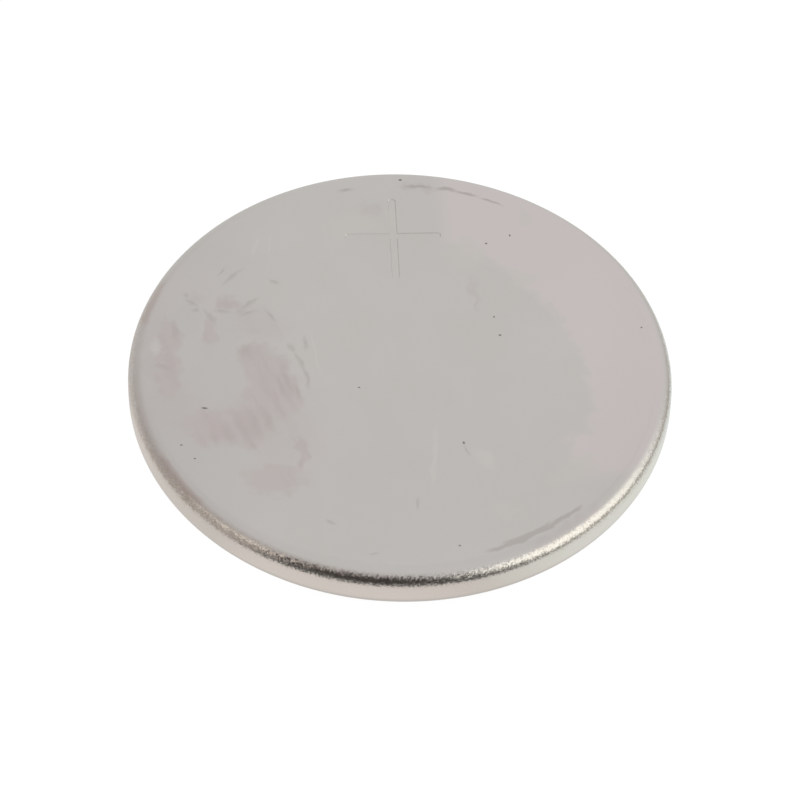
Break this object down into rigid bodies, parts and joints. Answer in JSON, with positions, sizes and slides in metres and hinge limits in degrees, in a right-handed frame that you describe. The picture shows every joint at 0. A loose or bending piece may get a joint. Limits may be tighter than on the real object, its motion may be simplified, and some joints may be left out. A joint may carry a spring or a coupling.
{
  "type": "lithium coin cell",
  "caption": "Flat round lithium cell: a drawn steel can with its rim crimped over a gasket ring, which seals in a stepped steel cap as the negative terminal.",
  "frame": {"origin": "centre of the negative terminal's outer face, which the cell stands on", "axes": "+Z along the cell's axis from the negative terminal to the positive face, +Y towards the side of the face that carries the plus sign, +X to its right"},
  "size_m": [0.023, 0.023, 0.0025],
  "materials": {
    "can_nickel": "satin",
    "gasket_polypropylene": "satin",
    "cap_nickel": "satin",
    "carbon_compound": "matte",
    "titanium_lath": "satin",
    "nonwoven": "matte",
    "lithium": "satin"
  },
  "bodies": {
    "root": {"positive_can": "can_nickel", "gasket": "gasket_polypropylene", "negative_cap": "cap_nickel", "cathode_pellet": "carbon_compound", "current_collector": "titanium_lath", "separator": "nonwoven", "lithium_disc": "lithium"}
  },
  "joints": []
}
